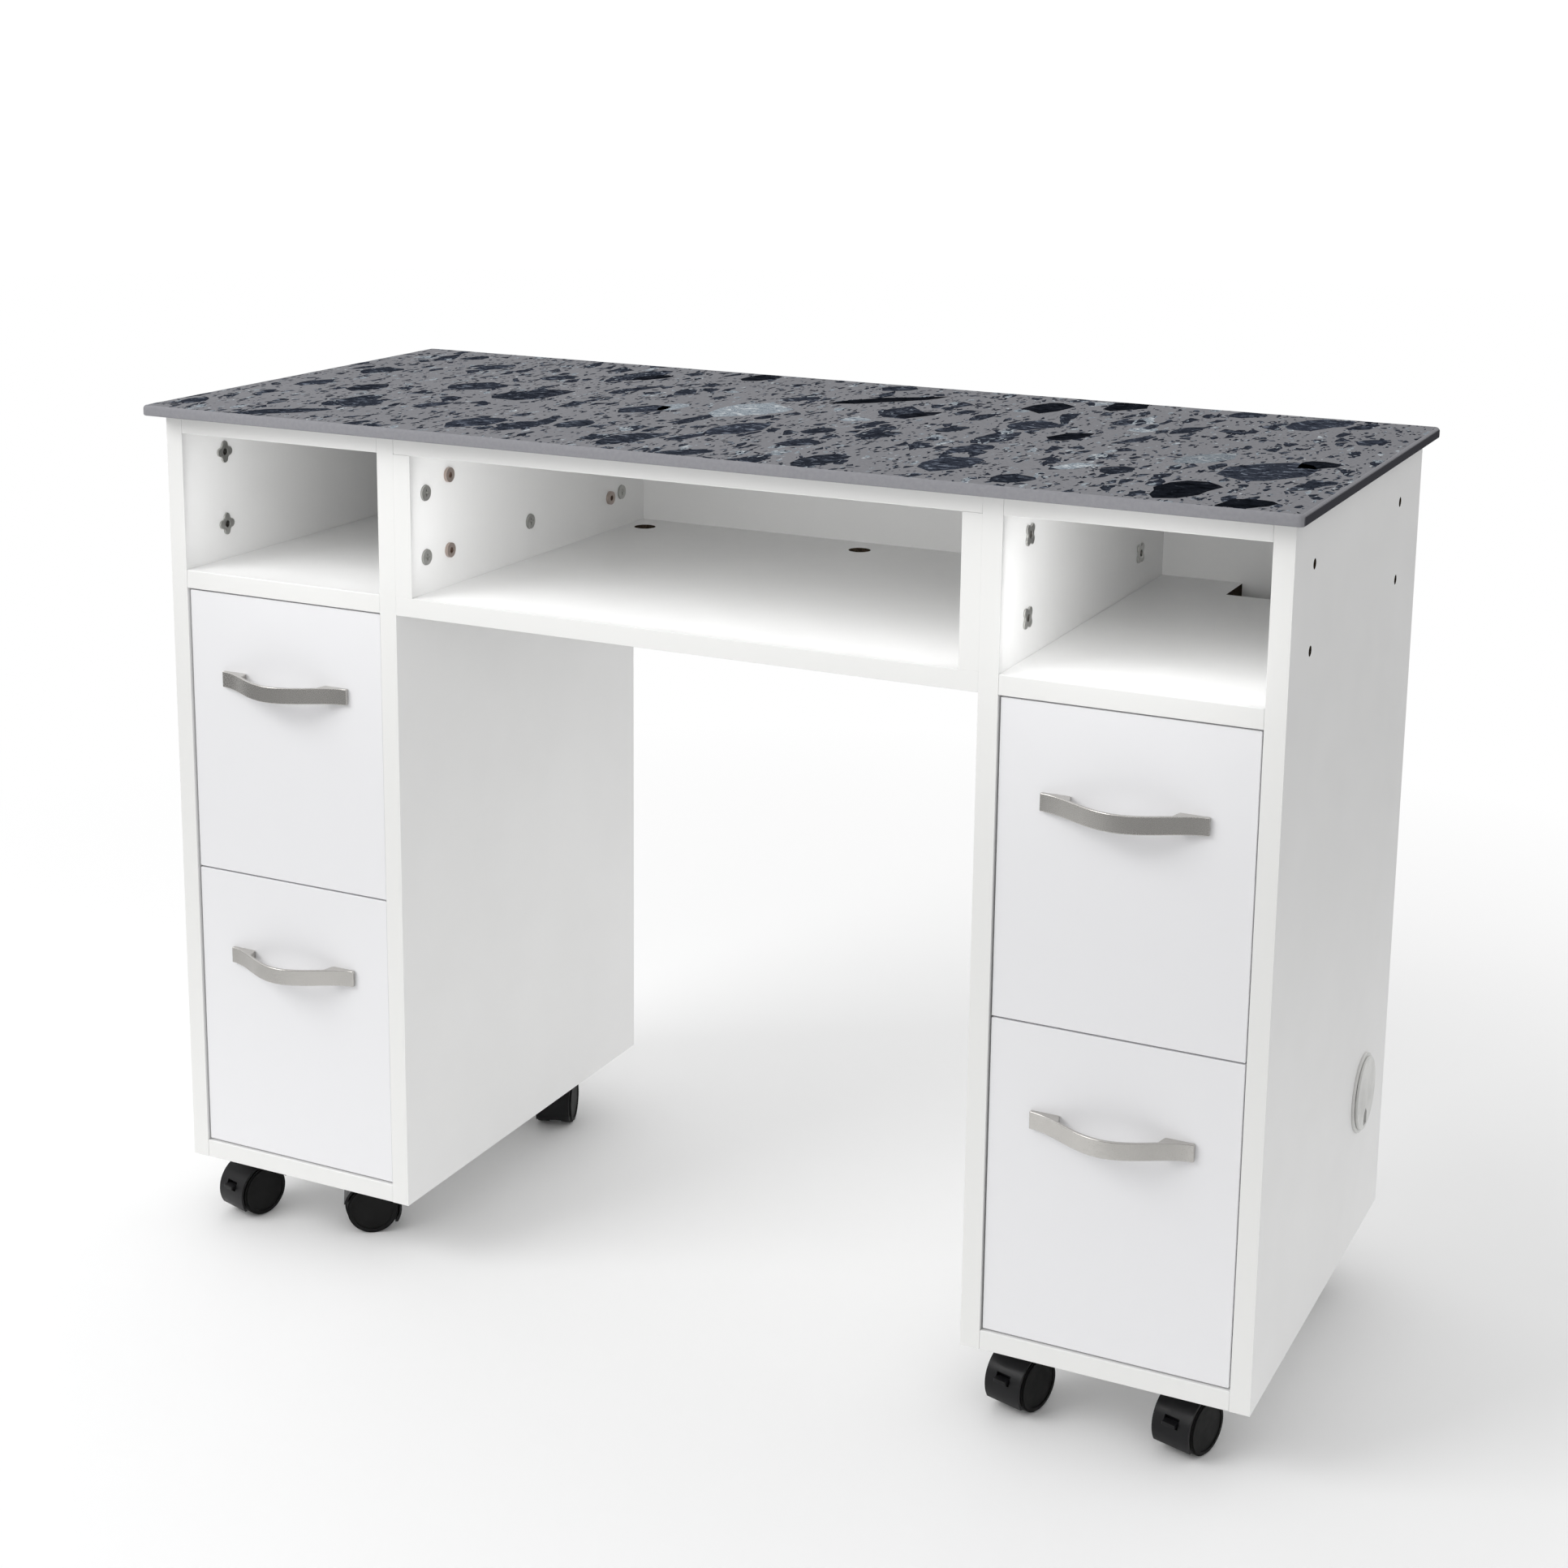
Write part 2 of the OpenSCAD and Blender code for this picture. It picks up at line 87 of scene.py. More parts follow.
class Shader:
    """A material with its nodes, and short calls for the nodes that most surfaces share."""

    def __init__(self, name, roughness, metallic=0.0):
        self.material = bpy.data.materials.new(name)
        self.material.use_nodes = True
        self.tree = self.material.node_tree
        self.surface = self.tree.nodes["Principled BSDF"]
        self.set("Roughness", roughness)
        self.set("Metallic", metallic)
        self.place = self.tree.nodes.new("ShaderNodeTexCoord").outputs["Object"]

    def set(self, socket, value):
        self.surface.inputs[socket].default_value = value

    def link(self, value, socket):
        self.tree.links.new(value, self.surface.inputs[socket])

    def put(self, node, socket, value):
        """Links another node's output into a socket, or sets the socket to a plain value."""
        if isinstance(value, bpy.types.NodeSocket):
            self.tree.links.new(value, node.inputs[socket])
        else:
            node.inputs[socket].default_value = value

    def node(self, kind, inputs=(), **settings):
        node = self.tree.nodes.new(kind)
        for name, value in settings.items():
            setattr(node, name, value)
        for socket, value in dict(inputs).items():
            self.put(node, socket, value)
        return node

    def stretched(self, scale, turn=(0.0, 0.0, 0.0)):
        inputs = {"Vector": self.place, "Scale": scale, "Rotation": turn}
        return self.node("ShaderNodeMapping", inputs).outputs["Vector"]

    def noise(self, scale, detail=2.0, vector=None, roughness=0.5, distortion=0.0):
        inputs = {"Vector": vector or self.place, "Scale": scale, "Detail": detail,
                  "Roughness": roughness, "Distortion": distortion}
        return self.node("ShaderNodeTexNoise", inputs).outputs["Fac"]

    def cells(self, scale, vector, feature="F1"):
        return self.node("ShaderNodeTexVoronoi", {"Vector": vector, "Scale": scale}, feature=feature)

    def ramp(self, value, *stops):
        """Maps a value onto colours or greys given as (position, colour) pairs."""
        node = self.node("ShaderNodeValToRGB", {"Fac": value})
        elements = node.color_ramp.elements
        while len(elements) < len(stops):
            elements.new(0.5)
        for element, (position, colour) in zip(elements, stops):
            element.position = position
            element.color = (*colour, 1.0)
        return node.outputs["Color"]

    def steps(self, value, low, high, out_low=0.0, out_high=1.0):
        inputs = {"Value": value, "From Min": low, "From Max": high,
                  "To Min": out_low, "To Max": out_high}
        return self.node("ShaderNodeMapRange", inputs).outputs["Result"]

    def math(self, operation, first, second=0.0):
        return self.node("ShaderNodeMath", {0: first, 1: second}, operation=operation).outputs[0]

    def mix(self, factor, first, second):
        """Mixes two colours, each a socket or three plain numbers."""
        node = self.node("ShaderNodeMix", {0: factor}, data_type="RGBA")
        for socket, value in ((6, first), (7, second)):
            self.put(node, socket, value if isinstance(value, bpy.types.NodeSocket) else (*value, 1.0))
        return node.outputs[2]

    def bump(self, height, strength, distance=0.001):
        inputs = {"Height": height, "Strength": strength, "Distance": distance}
        self.link(self.node("ShaderNodeBump", inputs).outputs["Normal"], "Normal")


# ---------- materials ----------

def melamine(name, face, band, roughness=0.38):
    """White melamine board: faint mottling, pearl texture, a slightly warmer edge band in front."""
    s = Shader(name, roughness)
    mottling = s.noise(9.0, 3.0)
    faces = s.mix(s.steps(mottling, 0.35, 0.7), face, [c * 0.975 for c in face])
    scuffs = s.noise(60.0, 5.0, s.stretched((1.0, 1.0, 0.15)), 0.7)
    faces = s.mix(s.steps(scuffs, 0.70, 0.78, 0.0, 0.12), faces, [c * 0.8 for c in face])
    normal = s.node("ShaderNodeNewGeometry").outputs["True Normal"]
    front = s.node("ShaderNodeSeparateXYZ", {"Vector": normal}).outputs["Y"]
    s.link(s.mix(s.steps(front, -0.9, -0.97), faces, band), "Base Color")
    s.link(s.steps(s.noise(35.0, 2.0), 0.3, 0.7, roughness - 0.04, roughness + 0.07), "Roughness")
    pearl = s.noise(750.0, 2.0)
    s.bump(pearl, 0.05, 0.0004)
    return s.material


SLATE_TONES = ((0.38, (0.010, 0.012, 0.018)), (0.47, (0.034, 0.040, 0.055)), (0.53, (0.013, 0.015, 0.022)),
               (0.60, (0.090, 0.105, 0.135)), (0.68, (0.20, 0.22, 0.26)))
BLACK_TONES = ((0.42, (0.004, 0.005, 0.007)), (0.55, (0.013, 0.015, 0.021)), (0.60, (0.006, 0.007, 0.010)),
               (0.70, (0.075, 0.085, 0.105)))
MARBLE_TONES = ((0.36, (0.13, 0.155, 0.185)), (0.46, (0.36, 0.40, 0.43)), (0.52, (0.12, 0.145, 0.18)),
                (0.60, (0.50, 0.53, 0.55)))

# The chips run longer from front to back than from side to side by this much
DEPTH_STRETCH = 2.4


def terrazzo(name):
    """Grey cast matrix with scattered angular chips; the largest chips are pieces of their own."""
    s = Shader(name, 0.45)
    s.set("Specular IOR Level", 0.0)
    warp = s.node("ShaderNodeTexNoise", {"Vector": s.place, "Scale": 55.0, "Detail": 3.0})
    moved = s.node("ShaderNodeVectorMath", {0: warp.outputs["Color"], 1: (0.008, 0.008, 0.0)},
                   operation="MULTIPLY")
    warped = s.node("ShaderNodeVectorMath", {0: s.place, 1: moved.outputs[0]}, operation="ADD").outputs[0]
    matrix = s.mix(s.steps(s.noise(380.0, 3.0), 0.3, 0.7), (0.205, 0.206, 0.220), (0.255, 0.256, 0.272))
    cloud = s.noise(7.0, 3.0)
    colour = s.mix(s.steps(cloud, 0.35, 0.7, 0.0, 0.35), matrix, (0.19, 0.192, 0.207))
    # Each layer: cells per metre, the share of cells with a chip, and how far chips keep apart
    layers = ((36.0, 0.09, 0.030), (60.0, 0.13, 0.026), (110.0, 0.16, 0.022), (210.0, 0.17, 0.018),
              (400.0, 0.14, 0.016))
    for index, (scale, share, rim) in enumerate(layers):
        turned = s.node("ShaderNodeMapping", {
            "Vector": warped, "Scale": (1.0, 1.0 / DEPTH_STRETCH, 1.0),
            "Rotation": (0.0, 0.0, 1.3 * index), "Location": (0.31 * index, 0.17, 0.0)}).outputs[0]
        cell = s.cells(scale, turned)
        edge = s.cells(scale, turned, "DISTANCE_TO_EDGE").outputs["Distance"]
        chance = s.node("ShaderNodeSeparateColor", {"Color": cell.outputs["Color"]})
        chosen = s.math("LESS_THAN", chance.outputs["Red"], share)
        inset = s.steps(chance.outputs["Blue"], 0.0, 1.0, rim * 2.0, rim * 9.0)
        inside = s.math("GREATER_THAN", edge, inset)
        mask = s.math("MULTIPLY", chosen, inside)
        grain = s.stretched((1.0, 1.5, 1.0), (0.0, 0.0, 0.25 * index - 0.3))
        streak = s.noise(120.0, 5.0, grain, 0.65)
        is_pale = s.math("GREATER_THAN", chance.outputs["Green"], 0.93 - 0.03 * index)
        stone = s.mix(is_pale, s.ramp(streak, *SLATE_TONES), s.ramp(streak, *MARBLE_TONES))
        colour = s.mix(mask, colour, stone)
    height = s.node("ShaderNodeNewGeometry").outputs["True Normal"]
    upward = s.node("ShaderNodeSeparateXYZ", {"Vector": height}).outputs["Z"]
    edge_grey = s.mix(s.steps(s.noise(300.0, 2.0), 0.3, 0.7), (0.28, 0.28, 0.30), (0.31, 0.31, 0.33))
    # Painted shade: the slab's end faces, which point left and right, are painted near black in place of the
    # edge grey
    sideways = s.node("ShaderNodeSeparateXYZ", {"Vector": height}).outputs["X"]
    painted_shade_ends = s.steps(s.math("ABSOLUTE", sideways), 0.80, 0.95)
    edge_grey = s.mix(painted_shade_ends, edge_grey, (0.060, 0.060, 0.068))
    s.link(s.mix(s.steps(upward, 0.97, 0.995), edge_grey, colour), "Base Color")
    s.link(s.steps(s.noise(20.0, 2.0), 0.3, 0.7, 0.40, 0.52), "Roughness")
    s.bump(s.noise(420.0, 2.0), 0.04, 0.0003)
    return s.material


def stone_chip(name, tones, angle):
    """Streaked slate or marble for the inlaid chips, each chip with its own shade and vein places."""
    s = Shader(name, 0.40)
    s.set("Specular IOR Level", 0.0)
    island = s.node("ShaderNodeNewGeometry").outputs["Random Per Island"]
    shift = s.node("ShaderNodeCombineXYZ", {"X": s.math("MULTIPLY", island, 7.0)}).outputs[0]
    moved = s.node("ShaderNodeVectorMath", {0: s.place, 1: shift}, operation="ADD").outputs[0]
    grain = s.node("ShaderNodeMapping", {
        "Vector": moved, "Rotation": (0.0, 0.0, angle), "Scale": (1.0, 1.6, 1.0)}).outputs[0]
    streaks = s.noise(95.0, 6.0, grain, 0.66, 0.8)
    shade = s.steps(island, 0.0, 1.0, 0.75, 1.35)
    colour = s.ramp(streaks, *tones)
    scaled = s.node("ShaderNodeVectorMath", {0: colour, "Scale": shade}, operation="SCALE").outputs[0]
    s.link(scaled, "Base Color")
    s.bump(streaks, 0.03, 0.0003)
    return s.material


def brushed_metal(name, colour, along, roughness=0.24):
    """Brushed or plated metal with fine lines along one direction."""
    s = Shader(name, roughness, 1.0)
    lines = s.noise(3200.0, 2.0, s.stretched(along), 0.6)
    clouds = s.noise(60.0, 3.0)
    tone = s.mix(s.steps(lines, 0.35, 0.65), colour, [c * 0.90 for c in colour])
    s.link(s.mix(s.steps(clouds, 0.35, 0.7, 0.0, 0.5), tone, [c * 0.88 for c in colour]), "Base Color")
    s.link(s.steps(lines, 0.3, 0.7, roughness - 0.04, roughness + 0.06), "Roughness")
    s.bump(lines, 0.04, 0.0001)
    return s.material


def moulded_plastic(name, colour, roughness, grain=900.0, strength=0.08, specular=0.5):
    """Moulded plastic with a spark-eroded grain."""
    s = Shader(name, roughness)
    s.set("Specular IOR Level", specular)
    patches = s.noise(45.0, 3.0)
    s.link(s.mix(s.steps(patches, 0.35, 0.7), colour, [c * 0.82 for c in colour]), "Base Color")
    s.link(s.steps(s.noise(70.0, 3.0), 0.3, 0.7, roughness - 0.06, roughness + 0.08), "Roughness")
    s.bump(s.noise(grain, 2.0), strength, 0.0003)
    return s.material


def raw_board_painted_shade(name):
    """Bare particle board in the drilled holes and cut-outs, darkened to near black as painted shade inside
    them.
    """
    s = Shader(name, 0.9)
    s.set("Specular IOR Level", 0.1)
    # Painted shade: the bare board's brown is darkened to near black, for the shade inside holes and cut-outs
    chips = s.ramp(s.noise(700.0, 4.0), (0.35, (0.020, 0.015, 0.010)), (0.7, (0.085, 0.062, 0.042)))
    s.link(chips, "Base Color")
    s.bump(s.noise(900.0, 3.0), 0.4, 0.0005)
    return s.material


RAW_BOARD_PAINTED_SHADE = raw_board_painted_shade("raw_board_painted_shade")
MATERIALS = {
    "terrazzo": terrazzo("terrazzo"),
    "melamine": melamine("melamine", (0.90, 0.90, 0.895), (0.88, 0.88, 0.865)),
    "drawer_front": melamine("drawer_front", (0.88, 0.88, 0.895), (0.88, 0.88, 0.895), 0.36),
    "drawer_box": melamine("drawer_box", (0.82, 0.82, 0.81), (0.82, 0.82, 0.81), 0.45),
    "back_panel": melamine("back_panel", (0.88, 0.88, 0.875), (0.88, 0.88, 0.875), 0.42),
    "zinc_steel": brushed_metal("zinc_steel", (0.52, 0.52, 0.50), (1.0, 1.0, 1.0), 0.30),
    "yellow_zinc": brushed_metal("yellow_zinc", (0.50, 0.42, 0.38), (1.0, 1.0, 1.0), 0.30),
    "caster_steel": brushed_metal("caster_steel", (0.06, 0.06, 0.06), (1.0, 1.0, 1.0), 0.40),
    "white_plastic": moulded_plastic("white_plastic", (0.78, 0.78, 0.76), 0.38, 700.0, 0.03),
    "brushed_nickel": brushed_metal("brushed_nickel", (0.60, 0.585, 0.56), (0.02, 1.0, 1.0)),
    "black_plastic": moulded_plastic("black_plastic", (0.007, 0.007, 0.008), 0.36, specular=0.22),
    "wheel_plastic": moulded_plastic("wheel_plastic", (0.007, 0.007, 0.007), 0.60, 500.0, 0.25, 0.18),
}
CHIP_STONES = {
    "slate": stone_chip("slate_chip", SLATE_TONES, -0.35),
    "black": stone_chip("black_chip", BLACK_TONES, -0.2),
    "marble": stone_chip("marble_chip", MARBLE_TONES, -0.6),
}


# ---------- carried-over CAD nodes ----------

# Millimetres
EDGE_RADIUS = {"melamine": 0.8, "drawer_front": 0.6, "drawer_box": 0.4, "back_panel": 0.3,
               "white_plastic": 0.5, "black_plastic": 0.7, "wheel_plastic": 1.1, "zinc_steel": 0.25,
               "yellow_zinc": 0.4, "caster_steel": 0.3, "brushed_nickel": 0.4, "terrazzo": 1.0}
FLAT_SLOTS = ("melamine", "drawer_front", "drawer_box", "back_panel")


# A face this far inside its board's box, in mm, is the wall of a hole or cut-out
CUT_DEPTH = 0.05


def paint_shade_in_raw_cuts(name, mesh):
    """Gives the walls of holes and cut-outs in a board the bare board's material, darkened to near black as
    painted shade.
    """
    low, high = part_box(name)
    mesh.materials.append(RAW_BOARD_PAINTED_SHADE)
    for polygon in mesh.polygons:
        middle = polygon.center
        reach = min(min(middle[i] - low[i], high[i] - middle[i]) for i in range(3))
        if reach > CUT_DEPTH * MM:
            polygon.material_index = 1


def soften(piece, radius, angle):
    """Rounds every edge that turns by more than the angle."""
    bevel = piece.modifiers.new("soft_edges", "BEVEL")
    bevel.width = radius * MM
    bevel.segments = 3
    bevel.limit_method = "ANGLE"
    bevel.angle_limit = math.radians(angle)
    return bevel


def dress(name, node):
    """Gives a CAD node its material and softened edges."""
    slot = SLOT_OF[name]
    mesh = node.data
    mesh.materials.clear()
    mesh.materials.append(MATERIALS[slot])
    weld = node.modifiers.new("weld", "WELD")
    weld.merge_threshold = 0.00001
    if slot in FLAT_SLOTS:
        if "custom_normal" in mesh.attributes:
            mesh.attributes.remove(mesh.attributes["custom_normal"])
        for polygon in mesh.polygons:
            polygon.use_smooth = False
        flatten = node.modifiers.new("whole_faces", "DECIMATE")
        flatten.decimate_type = "DISSOLVE"
        flatten.angle_limit = math.radians(0.5)
        flatten.delimit = {"MATERIAL"}
        if slot == "melamine":
            # The walls of holes and cut-outs get the near-black bare board: painted shade
            paint_shade_in_raw_cuts(name, mesh)
    soften(node, EDGE_RADIUS[slot], 40.0)
    if slot not in FLAT_SLOTS:
        weighted = node.modifiers.new("flat_faces", "WEIGHTED_NORMAL")
        weighted.keep_sharp = False
        weighted.weight = 100


# ---------- meshes ----------

def add_piece(name, mesh, body, slot, material=None):
    """Links a finished mesh as a piece that rides on a body."""
    mesh.name = name
    mesh.materials.append(material or MATERIALS[slot])
    piece = bpy.data.objects.new(name, mesh)
    bpy.context.scene.collection.objects.link(piece)
    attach(piece, body)
    return piece


def smooth(mesh, angle):
    """Smooth shading that keeps edges sharper than the angle."""
    for polygon in mesh.polygons:
        polygon.use_smooth = True
    mesh.set_sharp_from_angle(angle=math.radians(angle))


def skin_rings(rings):
    """A closed mesh through rings of equal point counts."""
    build = bmesh.new()
    verts = [[build.verts.new(point) for point in ring] for ring in rings]
    count = len(rings[0])
    for first, second in zip(verts, verts[1:]):
        for i in range(count):
            j = (i + 1) % count
            build.faces.new((first[i], first[j], second[j], second[i]))
    build.faces.new(verts[0])
    build.faces.new(verts[-1])
    bmesh.ops.recalc_face_normals(build, faces=build.faces)
    mesh = bpy.data.meshes.new("mesh")
    build.to_mesh(mesh)
    build.free()
    return mesh


def rounded_rectangle(low, high, radius, steps=6):
    """Points of a rectangle with round corners, counter-clockwise from the lower right."""
    centres = ((high[0] - radius, low[1] + radius, -90), (high[0] - radius, high[1] - radius, 0),
               (low[0] + radius, high[1] - radius, 90), (low[0] + radius, low[1] + radius, 180))
    points = []
    for x, y, start in centres:
        for i in range(steps + 1):
            angle = math.radians(start + 90.0 * i / steps)
            points.append((x + radius * math.cos(angle), y + radius * math.sin(angle)))
    return points


def build_worktop():
    """The slab, with one rounded edge profile along all four sides."""
    low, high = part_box("worktop")
    profile_steps = 8
    top_round = 3.2 * MM
    bottom_round = 1.6 * MM
    corner_round = 5.0 * MM
    profile = []
    for i in range(profile_steps + 1):
        angle = math.radians(90.0 * i / profile_steps)
        profile.append((bottom_round * (1 - math.sin(angle)), low.z + bottom_round * (1 - math.cos(angle))))
    for i in range(profile_steps + 1):
        angle = math.radians(90.0 * i / profile_steps)
        profile.append((top_round * (1 - math.cos(angle)), high.z - top_round * (1 - math.sin(angle))))
    rings = []
    for inset, z in profile:
        outline = rounded_rectangle((low.x + inset, low.y + inset), (high.x - inset, high.y - inset),
                                    corner_round - inset)
        rings.append([(x, y, z) for x, y in outline])
    mesh = skin_rings(rings)
    smooth(mesh, 30.0)
    slab = add_piece("worktop_slab", mesh, TABLE, "terrazzo")
    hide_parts("worktop")


# The slab's largest chips: kind, middle from the slab's centre (x, y), length, width, turn; mm and degrees.
# The places and lengths of the first 38 rows began as the output of a scratch program, which worked them out
# from pixel coordinates in the photograph. A kept script isn't meant to hold such numbers, and report.md
# names this as a rule broken.
CHIPS = (
    ("slate", -205, -158, 46, 32, 12), ("slate", -165, -154, 38, 28, 30), ("slate", -130, -124, 34, 22, 5),
    ("slate", -245, -2, 62, 34, 20), ("slate", -317, 17, 56, 26, 8), ("black", -208, 146, 34, 18, 24),
    ("slate", -120, -26, 44, 24, 18), ("marble", -105, -4, 24, 22, 40), ("slate", -56, -162, 48, 30, 28),
    ("marble", -40, 15, 72, 40, 15), ("slate", -4, -78, 54, 32, 25), ("black", -118, 196, 36, 24, 10),
    ("slate", 12, -206, 46, 20, 24), ("slate", 70, -120, 34, 20, 16), ("slate", 118, -184, 42, 36, 30),
    ("black", 40, 127, 108, 17, 23), ("slate", 210, -148, 54, 38, 26), ("black", 178, 154, 44, 32, 2),
    ("slate", 200, 54, 44, 30, 14), ("black", 246, 18, 36, 22, 35), ("black", 236, 200, 40, 34, 12),
    ("black", 398, -166, 52, 36, 20), ("slate", 432, -62, 76, 46, 14), ("marble", 374, -28, 50, 24, 28),
    ("slate", 408, 178, 62, 30, 20), ("black", 452, -200, 46, 22, 16), ("slate", -395, -38, 36, 24, 18),
    ("slate", -345, -118, 38, 24, 6), ("slate", -455, -34, 30, 20, 24), ("slate", -378, -190, 74, 18, 22),
    ("slate", -478, -176, 26, 18, 10), ("slate", 111, -52, 32, 18, 32), ("slate", 58, -58, 30, 18, 14),
    ("slate", 274, -186, 36, 22, 8), ("black", 458, -18, 34, 20, 12), ("slate", 198, -76, 40, 20, 24),
    ("slate", -370, 132, 34, 20, 30), ("slate", -450, 60, 40, 22, 16), ("slate", 320, 96, 30, 18, 40),
    ("marble", 296, -112, 30, 14, 20), ("slate", 20, 196, 38, 18, 12), ("slate", -20, -136, 26, 16, 50),
    ("slate", 330, -112, 30, 20, 15), ("black", 96, 60, 36, 16, 30), ("slate", -280, 100, 34, 18, 12),
    ("slate", 340, 200, 36, 20, 8), ("slate", -30, 92, 30, 16, 26), ("slate", -290, -96, 28, 18, 34),
    ("slate", 150, 4, 26, 16, 20), ("slate", 300, 30, 26, 14, 44), ("marble", 60, 12, 26, 12, 10),
    ("slate", -420, 178, 28, 16, 20), ("slate", 468, 110, 26, 16, 30), ("slate", -180, 80, 26, 15, 48),
)
# Millimetres: above the slab's top, through the chip, and clear of the slab's rounded edge
CHIP_PROUD = 0.04
CHIP_THICKNESS = 0.4
CHIP_MARGIN = 3.5


def chip_outline(length, width, chance):
    """Angular shard: a jittered oval whose corners keep one pointed end."""
    corners = chance.randint(9, 12)
    points = []
    for i in range(corners):
        angle = 2.0 * math.pi * (i + chance.uniform(-0.3, 0.3)) / corners
        reach = chance.uniform(0.72, 1.0)
        pointed = 1.0 - 0.35 * max(0.0, math.cos(angle)) * abs(math.sin(angle))
        along = 0.5 * length * reach * math.cos(angle)
        aside = 0.5 * width * reach * pointed * math.sin(angle)
        points.append((along, aside))
    return points


def build_chips():
    """The large stone chips, which stand a hair above the slab's top so that they show."""
    low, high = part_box("worktop")
    middle = (low + high) / 2
    chance = random.Random(7)
    kinds = {"slate": bmesh.new(), "black": bmesh.new(), "marble": bmesh.new()}
    top = high.z + CHIP_PROUD * MM
    for kind, x, y, length, width, turn in CHIPS:
        angle = math.radians(turn)
        build = kinds[kind]
        ring = []
        for along, aside in chip_outline(length, width, chance):
            px = middle.x + MM * (x + along * math.cos(angle) - aside * math.sin(angle))
            py = middle.y + MM * (y + DEPTH_STRETCH * (along * math.sin(angle) + aside * math.cos(angle)))
            px = min(max(px, low.x + CHIP_MARGIN * MM), high.x - CHIP_MARGIN * MM)
            py = min(max(py, low.y + CHIP_MARGIN * MM), high.y - CHIP_MARGIN * MM)
            ring.append((px, py))
        upper = [build.verts.new((px, py, top)) for px, py in ring]
        lower = [build.verts.new((px, py, top - CHIP_THICKNESS * MM)) for px, py in ring]
        build.faces.new(upper)
        build.faces.new(lower[::-1])
        for i in range(len(ring)):
            j = (i + 1) % len(ring)
            build.faces.new((upper[i], lower[i], lower[j], upper[j]))
    for kind, build in kinds.items():
        bmesh.ops.recalc_face_normals(build, faces=build.faces)
        mesh = bpy.data.meshes.new("chips")
        build.to_mesh(mesh)
        build.free()
        add_piece("terrazzo_" + kind + "_chips", mesh, TABLE, "terrazzo", CHIP_STONES[kind])


# ---------- handles ----------

# Millimetres, but for the bow's power and the sharpest angle that isn't rounded, in degrees
HANDLE_SHAPE = {"end": 3.5, "band": 3.0, "foot": 24.0, "power": 1.7, "round": 0.7, "sharp": 38.0}


def bow(along, half, reach):
    """How far the band's outer face stands out from the drawer front, in mm."""
    end = HANDLE_SHAPE["end"]
    return end + (reach - end) * max(0.0, math.cos(0.5 * math.pi * along / half)) ** HANDLE_SHAPE["power"]


def build_handle(drawer):
    """Bow handle: one flat band that swells outwards, with a wedge foot at each end."""
    node = drawer + "_drawer_handle"
    low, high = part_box(node)
    half = (high.x - low.x) / 2 / MM
    reach = (high.y - low.y) / MM
    middle = (low.x + high.x) / 2
    steps = 40
    places = [half * (2.0 * i / steps - 1.0) for i in range(steps + 1)]
    outline = [(x, bow(x, half, reach)) for x in places]
    foot_inner = half - HANDLE_SHAPE["foot"]
    inner = [(x, bow(x, half, reach) - HANDLE_SHAPE["band"]) for x in places if abs(x) <= foot_inner + 0.5]
    outline += [(half, 0.3), (half - 1.0, 0.0), (foot_inner + 1.2, 0.0), (foot_inner + 0.4, 1.2)]
    outline += inner[::-1]
    outline += [(-foot_inner - 0.4, 1.2), (-foot_inner - 1.2, 0.0), (1.0 - half, 0.0), (-half, 0.3)]
    build = bmesh.new()
    rings = []
    for z in (low.z, high.z):
        rings.append([build.verts.new((middle + MM * x, high.y - MM * out, z)) for x, out in outline])
    count = len(outline)
    for i in range(count):
        j = (i + 1) % count
        build.faces.new((rings[0][i], rings[0][j], rings[1][j], rings[1][i]))
    build.faces.new(rings[0])
    build.faces.new(rings[1])
    bmesh.ops.recalc_face_normals(build, faces=build.faces)
    mesh = bpy.data.meshes.new("handle")
    build.to_mesh(mesh)
    build.free()
    smooth(mesh, HANDLE_SHAPE["sharp"])
    piece = add_piece(drawer + "_handle", mesh, drawer + "_drawer", "brushed_nickel")
    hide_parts(node)
    bevel = soften(piece, HANDLE_SHAPE["round"], HANDLE_SHAPE["sharp"])
    bevel.harden_normals = True


# ---------- lights and floor ----------

def add_area(name, place, target, size, energy):
    data = bpy.data.lights.new(name, "AREA")
    data.shape = "RECTANGLE"
    data.size, data.size_y = size
    data.energy = energy
    light = bpy.data.objects.new(name, data)
    light.location = place
    light.rotation_mode = "QUATERNION"
    light.rotation_quaternion = (Vector(target) - Vector(place)).to_track_quat("-Z", "Y")
    bpy.context.scene.collection.objects.link(light)


# Brightness of the far floor as the table sees it, where the camera sees plain white
FAR_LIGHT = 0.35


def floor_material():
    """Pale floor near the table that fades into white light further out."""
    s = Shader("floor", 0.6)
    s.set("Base Color", (0.94, 0.94, 0.94, 1.0))
    s.set("Specular IOR Level", 0.1)
    distance = s.node("ShaderNodeVectorMath", {0: s.place}, operation="LENGTH").outputs["Value"]
    seen = s.node("ShaderNodeLightPath").outputs["Is Camera Ray"]
    glow = s.node("ShaderNodeEmission", {"Strength": s.steps(seen, 0.0, 1.0, FAR_LIGHT, 1.0)}).outputs[0]
    blend = s.node("ShaderNodeMixShader", {0: s.steps(distance, 0.7, 1.7), 1: s.surface.outputs[0], 2: glow})
    s.tree.links.new(blend.outputs[0], s.tree.nodes["Material Output"].inputs["Surface"])
    return s.material


# The room's light and what each direction adds. These, the key light's watts and the bay lights' began as a
# scratch program's fit to brightnesses in the photograph. The key light's watts and the -0.61 are that fit's,
# rounded, and the others were changed afterwards.
ROOM_LIGHT = 0.34
ROOM_GAINS = (("X", 0.32), ("X", -0.61), ("Y", 0.60), ("Z", 0.26))


